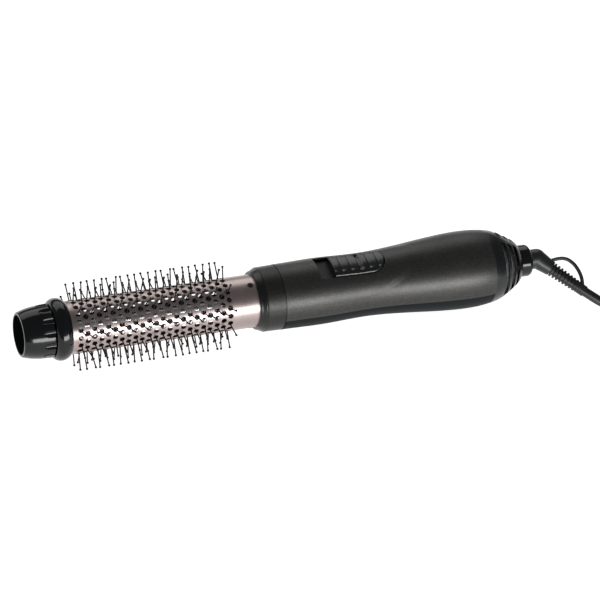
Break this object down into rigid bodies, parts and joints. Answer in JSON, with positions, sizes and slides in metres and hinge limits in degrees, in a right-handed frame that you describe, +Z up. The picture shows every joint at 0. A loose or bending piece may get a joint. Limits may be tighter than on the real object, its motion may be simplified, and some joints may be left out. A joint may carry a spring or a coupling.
{
  "type": "hot air brush",
  "caption": "Hot air styling brush: perforated metal barrel, bristles drawn in by a twist knob, contoured handle with slide switch, rear air grille and swivel cord.",
  "frame": {"origin": "bottom centre of the brush's bounding box without its free cord, on the surface it lies on", "axes": "+X along the brush axis from the nose to the cord, +Z up towards the switch, -Y the side the cord outlet leans to"},
  "size_m": [0.588, 0.0747, 0.0525],
  "materials": {
    "barrel_metal": "satin, warm tinted",
    "black_gloss": "glossy black",
    "collar_black": "satin black, heat resistant",
    "handle_paint": "fine metallic flake, satin",
    "handle_base": "satin dark grey",
    "nylon": "moulded nylon",
    "steel": "turned",
    "screw_steel": "black oxide",
    "switch_black": "moulded",
    "mica": "mica board",
    "mica_tube": "mica paper tube",
    "wire": "drawn resistance wire",
    "cutout_case": "pressed",
    "fan_plastic": "moulded",
    "board_green": "laminate with parts",
    "mesh_steel": "fine woven mesh",
    "brass": "plain",
    "cord_rubber": "satin black",
    "strap": "ribbed strap",
    "nickel": "nickel plate"
  },
  "bodies": {
    "handle": {"barrel": "barrel_metal", "barrel_screws": "screw_steel", "front_guide": "collar_black", "rear_guide": "collar_black", "nose_flange": "black_gloss", "barrel_collar": "collar_black", "front_ring": "handle_paint", "upper_housing": "handle_paint", "lower_housing": "handle_base", "housing_screws": "screw_steel", "switch_block": "switch_black", "heater_tube": "mica_tube", "heater_former": "mica", "heater_winding": "wire", "thermostat": "cutout_case", "motor": "steel", "motor_mount": "switch_black", "rectifier_board": "board_green", "rear_grille": "black_gloss", "filter_mesh": "mesh_steel", "contact_carrier": "collar_black", "contact_leaves": "brass"},
    "knob": {"nose_end_disc": "black_gloss", "nose_knob": "black_gloss", "knob_shaft": "steel", "front_scroll_plate": "collar_black", "rear_scroll_plate": "collar_black", "shaft_clip": "steel"},
    "switch": {"switch_button": "black_gloss", "switch_slider": "switch_black"},
    "fan": {"fan": "fan_plastic"},
    "swivel": {"swivel_collar": "black_gloss", "slip_rings": "brass", "cord_elbow": "cord_rubber", "strain_relief": "cord_rubber", "hanging_loop": "cord_rubber", "cord_lead": "cord_rubber", "cord_hank": "cord_rubber", "cord_tie": "strap", "plug_lead": "cord_rubber", "plug_body": "cord_rubber", "plug_pins": "nickel"},
    "bristle_bar_01": {"bristle_bar_01": "nylon"},
    "bristle_bar_02": {"bristle_bar_02": "nylon"},
    "bristle_bar_03": {"bristle_bar_03": "nylon"},
    "bristle_bar_04": {"bristle_bar_04": "nylon"},
    "bristle_bar_05": {"bristle_bar_05": "nylon"},
    "bristle_bar_06": {"bristle_bar_06": "nylon"},
    "bristle_bar_07": {"bristle_bar_07": "nylon"},
    "bristle_bar_08": {"bristle_bar_08": "nylon"},
    "bristle_bar_09": {"bristle_bar_09": "nylon"},
    "bristle_bar_10": {"bristle_bar_10": "nylon"}
  },
  "joints": [
    {"name": "knob_twist", "type": "hinge", "parent": "handle", "child": "knob", "pos_m": [-0.16902, 0, 0.02624], "axis": [1, 0, 0], "range_deg": [0, 90]},
    {"name": "switch_slide", "type": "slide", "parent": "handle", "child": "switch", "axis": [-1, 0, 0], "range_m": [0, 0.0085]},
    {"name": "fan_spin", "type": "hinge", "parent": "handle", "child": "fan", "pos_m": [0.08348, 0, 0.02624], "axis": [1, 0, 0], "continuous": true},
    {"name": "cord_swivel", "type": "hinge", "parent": "handle", "child": "swivel", "pos_m": [0.14583, 0, 0.02624], "axis": [1, 0, 0], "continuous": true},
    {"name": "bristle_bar_01_draw", "type": "slide", "parent": "handle", "child": "bristle_bar_01", "axis": [0, 0.4179, -0.9085], "range_m": [0, 0.0088]},
    {"name": "bristle_bar_02_draw", "type": "slide", "parent": "handle", "child": "bristle_bar_02", "axis": [0, 0.8721, -0.4894], "range_m": [0, 0.0088]},
    {"name": "bristle_bar_03_draw", "type": "slide", "parent": "handle", "child": "bristle_bar_03", "axis": [0, 0.9932, 0.1167], "range_m": [0, 0.0088]},
    {"name": "bristle_bar_04_draw", "type": "slide", "parent": "handle", "child": "bristle_bar_04", "axis": [0, 0.7349, 0.6782], "range_m": [0, 0.0088]},
    {"name": "bristle_bar_05_draw", "type": "slide", "parent": "handle", "child": "bristle_bar_05", "axis": [0, 0.1959, 0.9806], "range_m": [0, 0.0088]},
    {"name": "bristle_bar_06_draw", "type": "slide", "parent": "handle", "child": "bristle_bar_06", "axis": [0, -0.4179, 0.9085], "range_m": [0, 0.0088]},
    {"name": "bristle_bar_07_draw", "type": "slide", "parent": "handle", "child": "bristle_bar_07", "axis": [0, -0.8721, 0.4894], "range_m": [0, 0.0088]},
    {"name": "bristle_bar_08_draw", "type": "slide", "parent": "handle", "child": "bristle_bar_08", "axis": [0, -0.9932, -0.1167], "range_m": [0, 0.0088]},
    {"name": "bristle_bar_09_draw", "type": "slide", "parent": "handle", "child": "bristle_bar_09", "axis": [0, -0.7349, -0.6782], "range_m": [0, 0.0088]},
    {"name": "bristle_bar_10_draw", "type": "slide", "parent": "handle", "child": "bristle_bar_10", "axis": [0, -0.1959, -0.9806], "range_m": [0, 0.0088]}
  ],
  "couplings": [
    {"joint": "bristle_bar_01_draw", "follows": "knob_twist", "m_per_rad": 0.005602},
    {"joint": "bristle_bar_02_draw", "follows": "knob_twist", "m_per_rad": 0.005602},
    {"joint": "bristle_bar_03_draw", "follows": "knob_twist", "m_per_rad": 0.005602},
    {"joint": "bristle_bar_04_draw", "follows": "knob_twist", "m_per_rad": 0.005602},
    {"joint": "bristle_bar_05_draw", "follows": "knob_twist", "m_per_rad": 0.005602},
    {"joint": "bristle_bar_06_draw", "follows": "knob_twist", "m_per_rad": 0.005602},
    {"joint": "bristle_bar_07_draw", "follows": "knob_twist", "m_per_rad": 0.005602},
    {"joint": "bristle_bar_08_draw", "follows": "knob_twist", "m_per_rad": 0.005602},
    {"joint": "bristle_bar_09_draw", "follows": "knob_twist", "m_per_rad": 0.005602},
    {"joint": "bristle_bar_10_draw", "follows": "knob_twist", "m_per_rad": 0.005602}
  ]
}
